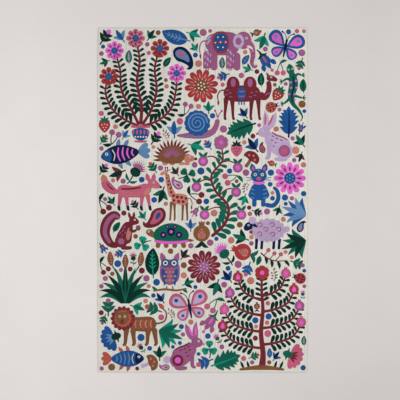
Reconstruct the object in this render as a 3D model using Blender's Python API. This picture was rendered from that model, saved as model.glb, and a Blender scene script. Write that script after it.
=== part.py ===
"""A crewel rug: a flat mat of cotton canvas, worked all over in wool chain stitch, with its edge turned under.

Metres, +Z up. The rug lies flat on the plane z = 0 with its centre over the origin. +X is across the rug, +Y is
along it, and the worked side faces up.
"""

import math

import bmesh
import bpy

# Driving dimensions
LENGTH = 2.440
WIDTH_OF_LENGTH = 0.609
WIDTH = LENGTH * WIDTH_OF_LENGTH
FIELD_THICK = 0.0060

# The turned edge: a soft roll, a flat hem, and the groove of the line of stitches that holds it down
ROLL_HEIGHT = 0.0028
ROLL_DEPTH = 0.0026
HEM_THICK = 0.0056
HEM_WIDTH = 0.0130
GROOVE_WIDTH = 0.0036
GROOVE_THICK = 0.0048
BASE_INSET = 0.0012

# What the hand leaves: sides that sway, corners that are a little soft, and a field that is a little uneven
SIDE_SWAY = 0.0016
CORNER_PULL = 0.0030
FIELD_SWELL = 0.0003

# Cells of the field between the two hems
FIELD_CELLS_ACROSS = 15
FIELD_CELLS_ALONG = 25

IVORY_WOOL = (0.66, 0.63, 0.57, 1.0)
WOOL_ROUGHNESS = 0.95


def edge_section():
    """Rows of (distance in from the side, height), from the widest point of the roll up to the level field."""
    return (
        (0.0, ROLL_HEIGHT),
        (0.3 * ROLL_DEPTH, 0.82 * HEM_THICK),
        (ROLL_DEPTH, HEM_THICK),
        (HEM_WIDTH, HEM_THICK),
        (HEM_WIDTH + 0.5 * GROOVE_WIDTH, GROOVE_THICK),
        (HEM_WIDTH + GROOVE_WIDTH, FIELD_THICK),
    )


def stations(span, field_cells):
    """Where the grid's lines cross a side of this length: close together in both hems, even in the field."""
    half = span / 2
    hem = [half - inward for inward, _ in edge_section()]
    field_half = hem[-1]
    step = 2 * field_half / field_cells
    field = [-field_half + step * i for i in range(1, field_cells)]
    return [-x for x in hem] + field + hem[::-1]


def height_at(inward):
    """The height of the worked side, this far in from the nearest side of the rug."""
    rows = edge_section()
    for (near, low), (far, high) in zip(rows, rows[1:]):
        if inward <= far:
            return low + (high - low) * (inward - near) / (far - near)
    return rows[-1][1]


def swell_at(x, y, inward):
    """How far the field stands above or below its level, which fades out at the hem."""
    fade = min(1.0, max(0.0, (inward - HEM_WIDTH - GROOVE_WIDTH) / (4 * HEM_WIDTH)))
    wave = math.sin(7.0 * x + 1.1) * math.cos(5.0 * y) + 0.6 * math.sin(11.0 * y + 4.0 * x)
    return FIELD_SWELL * fade * wave / 1.6


def sway_at(x, y):
    """How far a point of the cloth is shifted, as the sides of a handmade rug bow in and out."""
    along, across = y / (LENGTH / 2), x / (WIDTH / 2)
    corner = (along * across) ** 8
    return (
        across * (SIDE_SWAY * (math.cos(3 * math.pi * along) - 1) / 2 - CORNER_PULL * corner),
        along * (SIDE_SWAY * (math.cos(2 * math.pi * across) - 1) / 2 - CORNER_PULL * corner),
    )


def worked_side(mesh):
    """The top of the rug, as a grid laid on the stations and raised to the section's height."""
    across = stations(WIDTH, FIELD_CELLS_ACROSS)
    along = stations(LENGTH, FIELD_CELLS_ALONG)
    cells_across, cells_along = len(across) - 1, len(along) - 1
    bmesh.ops.create_grid(mesh, x_segments=cells_across, y_segments=cells_along, size=0.5)
    for vert in mesh.verts:
        x = across[round((vert.co.x + 0.5) * cells_across)]
        y = along[round((vert.co.y + 0.5) * cells_along)]
        inward = min(WIDTH / 2 - abs(x), LENGTH / 2 - abs(y))
        shift_x, shift_y = sway_at(x, y)
        vert.co = (x + shift_x, y + shift_y, height_at(inward) + swell_at(x, y, inward))


def close_below(mesh):
    """Turns the edge under the rug and closes it with the flat base."""
    rim = [edge for edge in mesh.edges if edge.is_boundary]
    under = bmesh.ops.extrude_edge_only(mesh, edges=rim)["geom"]
    for vert in [item for item in under if isinstance(item, bmesh.types.BMVert)]:
        vert.co.x *= 1 - BASE_INSET / (WIDTH / 2)
        vert.co.y *= 1 - BASE_INSET / (LENGTH / 2)
        vert.co.z = 0.0
    bmesh.ops.contextual_create(mesh, geom=[edge for edge in mesh.edges if edge.is_boundary])


def wool():
    """The ivory wool that covers the canvas."""
    material = bpy.data.materials.new("ivory_wool")
    material.use_nodes = True
    shader = material.node_tree.nodes["Principled BSDF"]
    shader.inputs["Base Color"].default_value = IVORY_WOOL
    shader.inputs["Roughness"].default_value = WOOL_ROUGHNESS
    shader.inputs["Metallic"].default_value = 0.0
    return material


def make_rug():
    """The whole rug, which is one piece of cloth."""
    mesh = bmesh.new()
    worked_side(mesh)
    close_below(mesh)
    bmesh.ops.recalc_face_normals(mesh, faces=mesh.faces)
    data = bpy.data.meshes.new("rug")
    mesh.to_mesh(data)
    mesh.free()
    data.shade_smooth()
    data.set_sharp_from_angle(angle=math.radians(50))
    data.materials.append(wool())
    rug = bpy.data.objects.new("rug", data)
    bpy.context.scene.collection.objects.link(rug)
    return rug


def main():
    for old in list(bpy.data.objects):
        bpy.data.objects.remove(old)
    make_rug()


main()
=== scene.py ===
"""A flat crewel rug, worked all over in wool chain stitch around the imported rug."""

import math
from collections import namedtuple
from functools import cache

import bmesh
import bpy
import numpy
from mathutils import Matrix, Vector


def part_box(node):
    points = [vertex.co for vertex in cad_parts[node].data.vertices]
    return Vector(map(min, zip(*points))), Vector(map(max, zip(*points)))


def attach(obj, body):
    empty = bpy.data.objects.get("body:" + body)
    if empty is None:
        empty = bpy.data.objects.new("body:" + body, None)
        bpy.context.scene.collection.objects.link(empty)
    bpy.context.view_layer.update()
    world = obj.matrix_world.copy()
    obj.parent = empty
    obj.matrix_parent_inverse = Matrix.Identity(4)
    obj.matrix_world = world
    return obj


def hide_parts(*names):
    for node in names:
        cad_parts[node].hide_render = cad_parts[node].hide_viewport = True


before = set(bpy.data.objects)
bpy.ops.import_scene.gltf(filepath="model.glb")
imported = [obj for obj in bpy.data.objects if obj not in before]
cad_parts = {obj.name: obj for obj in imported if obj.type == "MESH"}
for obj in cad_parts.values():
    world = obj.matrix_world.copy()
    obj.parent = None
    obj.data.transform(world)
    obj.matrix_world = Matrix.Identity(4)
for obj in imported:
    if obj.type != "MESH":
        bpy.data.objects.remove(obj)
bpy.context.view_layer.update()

bl_info = {
    "name": "Crewel Rug",
    "version": (1, 0, 0),
    "blender": (4, 5, 0),
    "location": "3D View > Sidebar > Crewel Rug",
    "description": "Works a crewel rug in rows of wool chain stitch",
    "category": "Add Mesh",
}

RUG_LOW, RUG_HIGH = (Vector(corner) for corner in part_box("rug"))

# The cloth, in metres: its size comes from the imported rug, and these numbers give its unevenness
WIDTH = RUG_HIGH.x - RUG_LOW.x
LENGTH = RUG_HIGH.y - RUG_LOW.y
THICK = RUG_HIGH.z - RUG_LOW.z
SIDE_SWAY = 0.0016
CORNER_PULL = 0.0030
SWELL = 0.0002
CANVAS_INSET = 0.0012
MM = 0.001

# Heights of the worked side, from the cloth's thickness, and how its patches draw in at their walls
EDGE_HEIGHT = 0.45 * THICK
SHOULDER_HEIGHT = 0.70 * THICK
SINK_HEIGHT = 0.66 * THICK
GROOVE_HEIGHT = 0.72 * THICK
GROUND_VALLEY = 0.79 * THICK
GROUND_CREST = 0.90 * THICK
YARN_VALLEY = 0.925 * THICK
YARN_CREST = 0.99 * THICK
WALL_INSET = 0.00025
NARROWEST_TOP = 0.6
INNERMOST_SHARE = 0.2
MERGE_GAP = 1e-6

# The hem: rows of stitches that run round the edge
HEM_ROWS = 3
HEM_SHOULDER = 0.0009
GROUND_STEP = 0.040
GROUND_WAVER = 0.0011
WAVER_FADE = 0.03

# The motifs are drawn in millimetres. These say how finely their lines, ends and rounds are worked
STATION_STEP = 9.0
SMALLEST_STEPS = 6
ROUND_STEPS = 14
PETAL_STEPS = 6
OUTLINE_STEP = 2.0
FLECK_REACH = 9
END_SHARES = (0.03, 0.14, 0.36, 0.66)

# The clear ground between motifs: its cells, its gap to the rug's edge, and how far it is measured
FIELD_CELL = 5.5
EDGE_GAP = 2.0
FIELD_REACH = 110.0

# How a leaf widens from its root and narrows to its tip: powers of the way along
LEAF = (0.75, 1.0)
DROP = (1.1, 0.5)
OVAL = (0.5, 0.5)
BLADE = (0.45, 1.25)

YARN_COLOURS = {
    "burgundy": (0.150, 0.020, 0.029),
    "bottle": (0.002, 0.026, 0.018),
    "emerald": (0.005, 0.104, 0.068),
    "viridian": (0.006, 0.240, 0.166),
    "navy": (0.004, 0.013, 0.055),
    "royal": (0.013, 0.078, 0.250),
    "sky": (0.110, 0.215, 0.385),
    "pink": (0.455, 0.098, 0.172),
    "orchid": (0.640, 0.115, 0.500),
    "mauve": (0.300, 0.094, 0.208),
    "lilac": (0.450, 0.340, 0.510),
    "red": (0.320, 0.033, 0.036),
    "terracotta": (0.385, 0.085, 0.055),
    "salmon": (0.470, 0.170, 0.130),
    "brown": (0.190, 0.078, 0.034),
    "cream": (0.690, 0.640, 0.540),
}

Band = namedtuple("Band", "yarn layer stations")
Disc = namedtuple("Disc", "yarn layer x y radius petals depth stretch turn", defaults=(0, 0.0, 1.0, 0.0))
Place = namedtuple("Place", "motif x y scale yarns turn mirrored", defaults=(0, False))
Filler = namedtuple("Filler", "motif most yarns")


# Lines and outlines

def bearing(angle):
    """The cosine and sine of an angle in degrees."""
    return math.cos(math.radians(angle)), math.sin(math.radians(angle))


def profile(way, shape):
    """The share of a leaf's width at a share of the way along it, 1 at its widest."""
    rise, fall = shape
    widest = rise / (rise + fall)
    most = widest ** rise * (1 - widest) ** fall
    return max(way, 0) ** rise * max(1 - way, 0) ** fall / most


def ways_along(points):
    """How far along a line each of its points lies."""
    ways = [0.0]
    for one, two in zip(points, points[1:]):
        ways.append(ways[-1] + math.dist(one[:2], two[:2]))
    return ways


def smooth_line(knots):
    """Close points of a smooth line through knots of (x, y, width), with the way along each."""
    padded = [knots[0], *knots, knots[-1]]
    points = []
    for before, start, end, after in zip(padded, padded[1:], padded[2:], padded[3:]):
        steps = max(1, math.ceil(math.dist(start[:2], end[:2]) / OUTLINE_STEP))
        for step in range(steps):
            t = step / steps
            points.append(tuple(
                b + 0.5 * t * (c - a + t * (2 * a - 5 * b + 4 * c - d + t * (3 * (b - c) + d - a)))
                for a, b, c, d in zip(before, start, end, after)
            ))
    points.append(knots[-1])
    return points, ways_along(points)


def point_at(points, ways, way):
    """The (x, y, width) at a way along a line of close points."""
    place = int(numpy.searchsorted(ways, way))
    place = min(max(place, 1), len(points) - 1)
    span = ways[place] - ways[place - 1]
    share = (way - ways[place - 1]) / span if span else 0.0
    return tuple(a + share * (b - a) for a, b in zip(points[place - 1], points[place]))


def round_ends(knots, scale):
    """Stations along a smooth line, closer at its ends, where the width is rounded off."""
    points, ways = smooth_line(knots)
    total = ways[-1]
    first, last = points[0][2] / 2, points[-1][2] / 2
    first, last = min(first, total / 3), min(last, total / 3)
    steps = max(SMALLEST_STEPS, math.ceil(total * scale / STATION_STEP))
    wanted = [total * step / steps for step in range(steps + 1)]
    for share in END_SHARES:
        wanted += [first * share, total - last * share]
    stations = []
    for way in sorted(set(wanted)):
        x, y, width = point_at(points, ways, way)
        for end, left in ((first, way), (last, total - way)):
            if left < end:
                width *= math.sqrt(max(0.0, 1 - (1 - left / end) ** 2))
        stations.append((x, y, max(width, 0.0)))
    return stations


# Motifs

class Motif:
    """One motif in the rug's design, with the place where its patches are worked."""

    def __init__(self, patches, x, y, scale=1.0, turn=0.0, mirrored=False):
        self.patches = patches
        self.x = x
        self.y = y
        self.scale = scale
        self.turn = turn
        self.side = -1 if mirrored else 1

    def spot(self, x, y):
        """Where a point of the motif lies on the rug."""
        cos, sin = bearing(self.turn)
        across, along = x * self.side * self.scale, y * self.scale
        return self.x + across * cos - along * sin, self.y + across * sin + along * cos

    def branch(self, x, y):
        """A motif of its own that grows from a point of this one."""
        return Motif(self.patches, *self.spot(x, y), self.scale, self.turn)

    def band(self, yarn, stations, layer):
        """Rows along stations of (x, y, width)."""
        placed = [(*self.spot(x, y), width * self.scale) for x, y, width in stations]
        self.patches.append(Band(yarn, layer, placed))

    def run(self, yarn, knots, layer=0):
        """Rows along a smooth line through knots of (x, y, width)."""
        self.band(yarn, round_ends(knots, self.scale), layer)

    def leaf(self, yarn, x, y, angle, length, width, layer=0, bend=0, shape=LEAF):
        """A leaf or petal that grows from x, y towards the angle, bent to its left."""
        steps = max(SMALLEST_STEPS, math.ceil(length * self.scale / STATION_STEP))
        cos, sin = bearing(angle)
        stations = []
        for step in range(steps + 1):
            way = (1 - math.cos(math.pi * step / steps)) / 2
            aside = 4 * bend * length * way * (1 - way)
            stations.append((
                x + way * length * cos - aside * sin,
                y + way * length * sin + aside * cos,
                width * profile(way, shape),
            ))
        self.band(yarn, stations, layer)

    def pair(self, yarn, x, y, spread, length, width, layer=0, bend=0, shape=LEAF, about=90):
        """Two leaves from x, y, one on each side of an angle."""
        for side in (-1, 1):
            self.leaf(yarn, x, y, about - spread * side, length, width, layer, bend * side, shape)

    def leg(self, yarn, hip, foot, joints, toe=0):
        """A leg from a hip to a foot across, with the height and width of hip, knee, ankle and toe."""
        across = (hip, (hip + foot) / 2, foot, foot + toe)
        self.run(yarn, [(x, *joint) for x, joint in zip(across, joints)])

    def disc(self, yarn, x, y, radius, layer=0, petals=0, depth=0.0, stretch=1.0, turn=0.0):
        """A round patch, its rim scalloped by petals or stretched to an oval."""
        placed = self.spot(x, y)
        turned = self.turn + turn * self.side
        self.patches.append(Disc(yarn, layer, *placed, radius * self.scale, petals, depth, stretch, turned))

    def dots(self, yarn, places, radius, layer=1):
        """Small discs at each of the places."""
        for x, y in places:
            self.disc(yarn, x, y, radius, layer)

    def flecks(self, yarn, places, lean=0, layer=2):
        """Short stitches of another yarn, scattered over a worked part."""
        cos, sin = (FLECK_REACH * part for part in bearing(lean))
        for x, y in places:
            self.run(yarn, [(x - cos, y - sin, 6), (x, y, 8), (x + cos, y + sin, 6)], layer)

    def eye(self, x, y, radius=9, layer=4):
        """A light eye with a dark middle."""
        self.disc("cream", x, y, radius, layer)
        self.disc("navy", x, y, 0.5 * radius, layer + 1)

    def leafy_stem(self, stem, foliage, knots, length=42, width=20, spacing=38, start=40, lean=58, layer=0):
        """A stem with pairs of leaves along it, which grow smaller towards its tip."""
        self.run(stem, knots, layer + 1)
        points, ways = smooth_line(knots)
        total = ways[-1]
        count = int((total - start) / spacing)
        for pair in range(count + 1):
            way = start + pair * spacing
            x, y, thick = point_at(points, ways, way)
            ahead = point_at(points, ways, min(way + 4, total))
            behind = point_at(points, ways, max(way - 4, 0))
            heading = math.degrees(math.atan2(ahead[1] - behind[1], ahead[0] - behind[0]))
            size = 1 - 0.42 * way / total
            reach = size * length + thick / 2
            self.pair(foliage, x, y, -lean, reach, size * width, layer, -0.1, DROP, heading)


def daisy(motif, petal, stroke, heart, seed, count=12, radius=100, layer=0):
    """A round flower: separate petals with a stroke along each, round a broad seeded heart."""
    for place in range(count):
        angle = 360 * place / count
        cos, sin = bearing(angle)
        root, inner, share = 0.2 * radius, 0.44 * radius, radius / count
        motif.leaf(petal, root * cos, root * sin, angle, 0.8 * radius, 4.3 * share, layer, shape=DROP)
        motif.leaf(stroke, inner * cos, inner * sin, angle, 0.34 * radius, 1.3 * share, layer + 1)
        if place % 2:
            motif.disc(seed, 0.2 * radius * cos, 0.2 * radius * sin, 0.055 * radius, layer + 3)
    motif.disc(heart, 0, 0, 0.36 * radius, layer + 2, petals=count, depth=0.06)
    motif.disc(seed, 0, 0, 0.055 * radius, layer + 3)


def blossom(motif, petal, heart, radius=45, count=6):
    """A small round flower for the tip of a stem."""
    for place in range(count):
        motif.leaf(petal, 0, 0, 360 * place / count + 90, radius, 5.2 * radius / count, 2, shape=DROP)
    motif.disc(heart, 0, 0, 0.32 * radius, 3)


def frond(motif, leaflets, rib, pairs=5, length=180, spread=84):
    """A fern frond: leaflets in pairs along a rib."""
    for pair in range(pairs):
        share = pair / pairs
        y = (-0.38 + 0.72 * share) * length
        size = spread * (1.1 - 0.9 * abs(share - 0.3))
        motif.pair(leaflets, 0, y, 52 - 14 * share, size, 31, pair % 2, bend=0.12)
    motif.leaf(leaflets, 0, 0.24 * length, 90, 0.32 * length, 32)
    motif.run(rib, [(0, -length / 2, 11), (3, 0, 9), (0, 0.42 * length, 5)], 2)


def broad_leaf(motif, blade, vein):
    """A broad leaf with a rib and side veins."""
    motif.leaf(blade, 0, -78, 90, 162, 86, bend=0.05, shape=(0.6, 0.8))
    motif.run(vein, [(0, -98, 9), (-5, -40, 8), (-9, 20, 7), (-5, 64, 5)], 1)
    for place in range(4):
        motif.pair(vein, -6, 24 * place - 42, 46, 34 - 4 * place, 8, 1, bend=0.1, shape=OVAL)


def spray(motif, blade, second):
    """A clump of narrow leaves that fan out from one root."""
    for place in range(7):
        lean = place - 3
        yarn = second if place % 2 else blade
        motif.leaf(yarn, 0, -70, 90 + lean * 20, 156 - 15 * abs(lean), 34, place % 2, bend=-0.05 * lean)


def sprig(motif, leaf, bud):
    """Two pairs of leaves under a small bud."""
    for y, size in ((-34, 58), (-4, 48)):
        motif.pair(leaf, 0, y, 50, size, 24, bend=0.1)
    motif.run(leaf, [(0, -60, 9), (0, 20, 8)], 1)
    motif.disc(bud, 0, 34, 15, 1)


def cherries(motif, fruit, stem):
    """A pair of cherries under one leaf."""
    for side in (-1, 1):
        motif.run(stem, [(0, 44, 6), (14 * side, 14, 6), (20 * side, -18, 6)])
        motif.disc(fruit, 21 * side, -26, 18, 1)
    motif.leaf(stem, 0, 40, 20, 54, 22, 1, bend=0.15)


def trio(motif, leaf, second):
    """Three leaves on one root."""
    motif.leaf(leaf, 0, -36, 90, 88, 32, 1, bend=0.04)
    motif.pair(second, 0, -34, 46, 70, 28, bend=0.12)
    motif.run(leaf, [(0, -56, 9), (0, -30, 8)])


def carnation(motif, petal, inner, cup):
    """A fan of petals over a green cup."""
    for place in range(7):
        motif.leaf(petal, 0, -22, 90 + (place - 3) * 23, 84, 34, shape=DROP)
    for place in range(4):
        motif.leaf(inner, 0, -24, 90 + (place - 1.5) * 25, 58, 15, 1)
    motif.leaf(cup, 0, -66, 90, 62, 42, 2, shape=OVAL)
    motif.pair(cup, 0, -58, 65, 46, 14, bend=0.2)


def pomegranate(motif, skin, flesh, seed, foliage):
    """A cut fruit with a crown, seeds and two leaves."""
    motif.disc(skin, 0, 0, 50, 1)
    for angle in (66, 90, 114):
        motif.leaf(skin, 0, 34, angle, 44, 17)
    motif.leaf(flesh, 0, 32, -90, 66, 50, 2, shape=DROP)
    motif.dots(seed, ((0, -22), (-9, -12), (9, -12), (-14, 3), (0, -1), (14, 3), (-6, 14), (7, 14)), 4, 3)
    motif.pair(foliage, 0, -46, 130, 58, 24, bend=-0.2)


def paisley(motif, outer, middle, inner):
    """A bent drop in three colours."""
    bend = [(-12, -74, 20), (-14, -58, 62), (-13, -26, 90), (-2, 14, 74),
            (22, 48, 42), (46, 56, 22), (58, 40, 8)]
    motif.run(outer, bend)
    motif.run(middle, [(-13, -58, 16), (-13, -46, 42), (-12, -22, 54), (-3, 12, 38), (16, 38, 14)], 1)
    motif.run(inner, [(-13, -44, 10), (-13, -28, 26), (-7, 4, 10)], 2)


def bellflower(motif, bell, edge, cup):
    """A hanging bell with three points and a clapper."""
    motif.run(edge, [(0, -30, 10), (0, -66, 8)])
    motif.disc(edge, 0, -70, 10, 1)
    motif.run(bell, [(0, 42, 26), (0, 18, 54), (0, -12, 64), (0, -30, 78)], 1)
    for x in (-28, 0, 28):
        motif.leaf(bell, x, -12, -90 + x * 0.7, 44, 30, 1)
    motif.run(edge, [(0, 30, 8), (0, 8, 14), (0, -16, 8)], 2)
    motif.run(cup, [(-6, 84, 7), (0, 66, 9), (0, 44, 20)], 2)
    motif.pair(cup, 0, 50, 115, 40, 14, 2, bend=-0.2)


def thistle(motif, plume, cup, stem):
    """A tuft of thin plumes over a round scaled cup, on a short stem."""
    for place in range(9):
        motif.leaf(plume, 0, 8, 90 + (place - 4) * 15, 74 - 3 * abs(place - 4), 13, place % 2, shape=BLADE)
    motif.disc(cup, 0, -2, 32, 2, stretch=0.86)
    for row, count in ((-12, 3), (4, 4)):
        for place in range(count):
            motif.disc(stem, (place - (count - 1) / 2) * 13, row, 4, 3)
    motif.run(stem, [(0, -28, 9), (3, -60, 8), (0, -88, 7)], 1)
    motif.leaf(stem, 0, -64, 145, 50, 17, bend=0.15)
    motif.leaf(stem, 2, -70, 40, 50, 17, bend=-0.15)


def berry_sprig(motif, stem, foliage, berry):
    """A bent sprig with leaves on one side and berries on the other."""
    motif.run(stem, [(-10, -84, 9), (6, -40, 8), (8, 8, 7), (-6, 52, 6), (-22, 82, 4)], 1)
    for x, y, angle in ((2, -52, 30), (8, -12, 25), (4, 28, 35), (-14, 64, 60)):
        motif.leaf(foliage, x, y, angle, 50, 20, bend=0.12)
    for x, y in ((-40, -44), (-34, -4), (-42, 34)):
        motif.run(stem, [(x + 44, y - 16, 6), (x + 18, y - 6, 5), (x, y, 5)])
        motif.disc(berry, x, y, 13, 1)


def clover(motif, foliage, vein, stem):
    """Three heart-shaped leaves on a short stem."""
    motif.run(stem, [(0, 0, 8), (5, -34, 7), (0, -60, 6)])
    for angle in (90, 210, 330):
        motif.pair(foliage, 0, 0, -19, 48, 30, 1, -0.08, DROP, angle)
        cos, sin = bearing(angle)
        motif.run(vein, [(8 * cos, 8 * sin, 5), (28 * cos, 28 * sin, 5)], 2)


def strawberry(motif, fruit, seed, cap):
    """A strawberry with its seeds and cap."""
    motif.leaf(fruit, 0, -46, 90, 78, 70, shape=(0.8, 0.45))
    motif.dots(seed, ((-16, 2), (0, 6), (16, 2), (-8, -14), (8, -14), (0, -28)), 4, 1)
    for angle in (0, 40, 90, 140, 180):
        motif.leaf(cap, 0, 24, angle, 34, 14, 1)


def mushroom(motif, cap, spot, stalk):
    """A spotted mushroom."""
    motif.run(stalk, [(0, 0, 22), (2, -30, 20), (0, -56, 28)])
    motif.run(cap, [(-46, -4, 8), (-30, 14, 44), (0, 22, 58), (30, 14, 44), (46, -4, 8)], 1)
    motif.dots(spot, ((-22, 16), (2, 28), (22, 12)), 7, 2)


def ladybird(motif, shell, spot):
    """A round beetle with spots."""
    motif.disc(spot, 0, 28, 15, 0)
    motif.disc(shell, 0, 0, 33, 1)
    motif.run(spot, [(0, 30, 6), (0, -30, 5)], 2)
    motif.dots(spot, ((-15, 12), (15, 12), (-16, -10), (16, -10)), 6, 2)
    for side in (-1, 1):
        motif.run(spot, [(4 * side, 36, 5), (12 * side, 52, 5)])


def butterfly(motif, wing, panel, spot, body):
    """A butterfly with four wings, seen from above."""
    for side in (-1, 1):
        for angle, length, width in ((36, 126, 88), (-42, 92, 66)):
            heading = angle if side > 0 else 180 - angle
            cos, sin = bearing(heading)
            motif.leaf(wing, 4 * side, 4, heading, length, width, shape=DROP)
            x, y = (4 + 22 * abs(cos)) * side, 4 + 22 * sin
            motif.leaf(panel, x, y, heading, 0.68 * length, 0.62 * width, 1, shape=DROP)
            motif.disc(spot, 0.70 * length * cos, 4 + 0.70 * length * sin, 0.14 * width, 2)
        motif.run(body, [(2 * side, 48, 5), (14 * side, 78, 5), (34 * side, 92, 6)])
        motif.disc(body, 37 * side, 93, 6, 1)
    motif.run(body, [(0, 52, 15), (0, 30, 12), (0, 12, 20), (0, -20, 15), (0, -62, 7)], 3)


def snail(motif, foot, shell, coil):
    """A snail under a coiled shell."""
    sole = [(-124, -66, 10), (-60, -66, 32), (30, -62, 42), (82, -44, 36), (106, -4, 30), (112, 30, 28)]
    motif.run(foot, sole)
    for x, y in ((98, 78), (136, 76)):
        motif.run(foot, [(112, 36, 8), ((112 + x) / 2, 62, 6), (x, y, 5)])
        motif.disc(foot, x, y, 7, 1)
    motif.disc(shell, -6, 6, 76, 1, petals=13, depth=0.07)
    turns = 2.6
    steps = 26
    spiral = []
    for step in range(steps + 1):
        angle = 2 * math.pi * turns * step / steps
        radius = 60 - 52 * step / steps
        spiral.append((-6 + radius * math.cos(angle), 6 + radius * math.sin(angle), 10 - 4 * step / steps))
    motif.run(coil, spiral, 2)
    motif.eye(116, 34, 6)
    motif.flecks(coil, [(-88 + 24 * place, -72 + 0.004 * place ** 4) for place in range(7)], 4, 1)


def fish(motif, body, stripe, fin, head):
    """A fish with striped sides and fanned fins."""
    for angle in (150, 180, 210):
        motif.leaf(fin, -84, 0, angle, 82, 34, shape=DROP)
    for x, y, angle in ((-10, 38, 128), (30, 42, 112), (-6, -36, 232), (34, -38, 250)):
        motif.leaf(fin, x, y, angle, 56, 26)
    motif.run(body, [(-96, 0, 20), (-60, 0, 66), (-5, 0, 108), (55, 0, 108), (104, 0, 66), (134, -2, 18)], 1)
    motif.run(head, [(70, 0, 88), (100, 0, 64), (128, -2, 16)], 2)
    for x, height in ((-62, 44), (-34, 66), (-6, 82), (22, 86)):
        motif.run(stripe, [(x, height / 2, 8), (x + 10, 0, 11), (x, -height / 2, 8)], 2)
    motif.run("cream", [(62, 34, 6), (50, 0, 6), (62, -34, 6)], 3)
    motif.eye(98, 12, 10)


def tortoise(motif, shell, plate, skin, rim):
    """A tortoise with a plated shell."""
    for x, lean in ((-62, -10), (-26, 4), (34, -4), (66, 10)):
        motif.run(skin, [(x, -20, 32), (x + lean, -48, 28), (x + 1.4 * lean, -70, 30)])
    motif.run(skin, [(66, -8, 34), (104, 6, 30), (128, 22, 42), (148, 20, 22)])
    motif.leaf(skin, -86, -16, 188, 52, 18, bend=0.1)
    motif.run(shell, [(-98, -18, 24), (-66, 4, 92), (0, 16, 122), (66, 4, 92), (98, -18, 24)], 1)
    motif.run(rim, [(-100, -28, 14), (-50, -36, 17), (0, -38, 18), (50, -36, 17), (100, -28, 14)], 2)
    for x, y, radius in ((0, 26, 25), (-46, 8, 19), (46, 8, 19), (-22, 56, 11), (22, 56, 11)):
        motif.disc(plate, x, y, radius, 2, petals=6, depth=0.08)
        motif.disc(rim, x, y, 0.42 * radius, 3)
    motif.eye(132, 28, 7)


def hedgehog(motif, body, spine, second, face):
    """A hedgehog with two rows of spines."""
    motif.run(face, [(58, -24, 62), (92, -28, 42), (124, -32, 12)], 1)
    for place in range(13):
        angle = 22 + place * 13.5
        cos, sin = bearing(angle)
        motif.leaf(spine, -12 + 52 * cos, -28 + 52 * sin, angle, 62, 15, bend=0.06)
    motif.run(body, [(-92, -34, 30), (-58, -18, 82), (-8, -6, 108), (40, -16, 84), (64, -24, 50)], 1)
    for place in range(9):
        angle = 30 + place * 15
        cos, sin = bearing(angle)
        motif.leaf(second, -12 + 18 * cos, -34 + 22 * sin, angle, 50, 11, 2, bend=0.06)
    for x in (-62, -20, 36, 66):
        motif.leaf(face, x - 10, -58, 0, 36, 20, shape=OVAL)
    motif.disc("navy", 126, -31, 8, 3)
    motif.eye(90, -18, 7)


def squirrel(motif, coat, stripe, belly, nut):
    """A sitting squirrel with a curled tail and a nut."""
    tail = [(-30, -96, 26), (-82, -78, 48), (-114, -16, 62), (-100, 54, 68), (-56, 96, 60), (-20, 78, 34)]
    motif.run(coat, tail)
    motif.run(stripe, [(x, y, 0.42 * width) for x, y, width in tail[1:]], 1)
    motif.run(coat, [(-8, -84, 70), (4, -50, 98), (22, 4, 78), (42, 56, 50)], 1)
    motif.run(belly, [(26, -60, 22), (36, -20, 30), (44, 20, 22)], 2)
    motif.disc(coat, -12, -66, 40, 2)
    motif.disc(stripe, -12, -66, 22, 3, petals=7, depth=0.12)
    motif.flecks(stripe, ((-18, -14), (-2, 2), (-6, -30), (10, 24), (14, -12)), 62)
    motif.run(coat, [(-14, -106, 24), (26, -108, 24), (56, -106, 18)], 2)
    motif.run(coat, [(38, 62, 60), (66, 62, 56), (100, 52, 20)], 2)
    for x, angle in ((46, 104), (66, 84)):
        motif.leaf(coat, x, 76, angle, 46, 19, 1)
    motif.run(coat, [(40, 14, 22), (66, -4, 18), (84, 8, 15)], 3)
    motif.disc(nut, 96, 16, 15, 4)
    motif.run(stripe, [(82, 26, 8), (96, 31, 10), (110, 26, 8)], 5)
    motif.eye(74, 70, 7)


def rabbit(motif, coat, shade, ear, tail):
    """A sitting rabbit with long ears."""
    for x, angle in ((60, 114), (78, 90)):
        motif.leaf(coat, x, 62, angle, 122, 36, 1, bend=0.06)
        motif.leaf(ear, x, 88, angle, 80, 14, 2, bend=0.06)
    motif.disc(tail, -108, -58, 24, 0, petals=8, depth=0.14)
    motif.run(coat, [(-72, -66, 72), (-34, -46, 118), (16, -12, 104), (64, 40, 60)], 1)
    motif.disc(coat, -40, -62, 50, 2)
    motif.disc(shade, -40, -62, 36, 3)
    motif.disc(ear, -40, -62, 21, 4, petals=7, depth=0.1)
    motif.run(coat, [(46, 50, 64), (84, 50, 64), (118, 40, 30)], 2)
    motif.run(coat, [(44, -10, 44), (50, -60, 26), (54, -98, 22), (74, -106, 16)], 2)
    motif.run(coat, [(-58, -110, 24), (-14, -112, 26), (20, -110, 16)], 2)
    motif.run(shade, [(-60, 4, 7), (-26, 22, 9), (10, 34, 10), (36, 52, 7)], 2)
    motif.flecks(shade, ((-22, 2), (4, 12), (28, 26), (12, -12), (34, 4), (24, -34)), 28)
    motif.disc(ear, 122, 41, 8, 3)
    motif.eye(92, 60, 8)


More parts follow.
